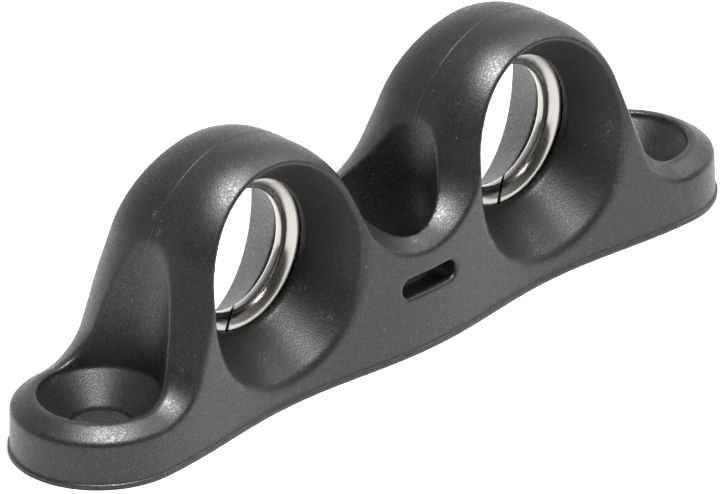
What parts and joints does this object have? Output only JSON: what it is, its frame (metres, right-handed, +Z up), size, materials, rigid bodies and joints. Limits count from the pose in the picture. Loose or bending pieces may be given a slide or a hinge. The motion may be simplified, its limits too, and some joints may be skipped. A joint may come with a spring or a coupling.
{
  "type": "deck fairlead",
  "caption": "Deck-mounted fairlead with arched line eyes side by side, each lined with a split stainless wear ring, on a scalloped base with countersunk screw recesses.",
  "frame": {"origin": "middle of the flat underside, under the middle screw hole", "axes": "+X along the row of eyes towards the right end, +Y from front to back along the line's path through the eyes, +Z up off the deck"},
  "size_m": [0.0948, 0.0188, 0.0272],
  "materials": {
    "black_nylon": "satin, finely textured from the mould",
    "stainless_steel": "polished"
  },
  "bodies": {
    "root": {"fairlead_body": "black_nylon", "wear_ring_left": "stainless_steel", "wear_ring_right": "stainless_steel"}
  },
  "joints": []
}
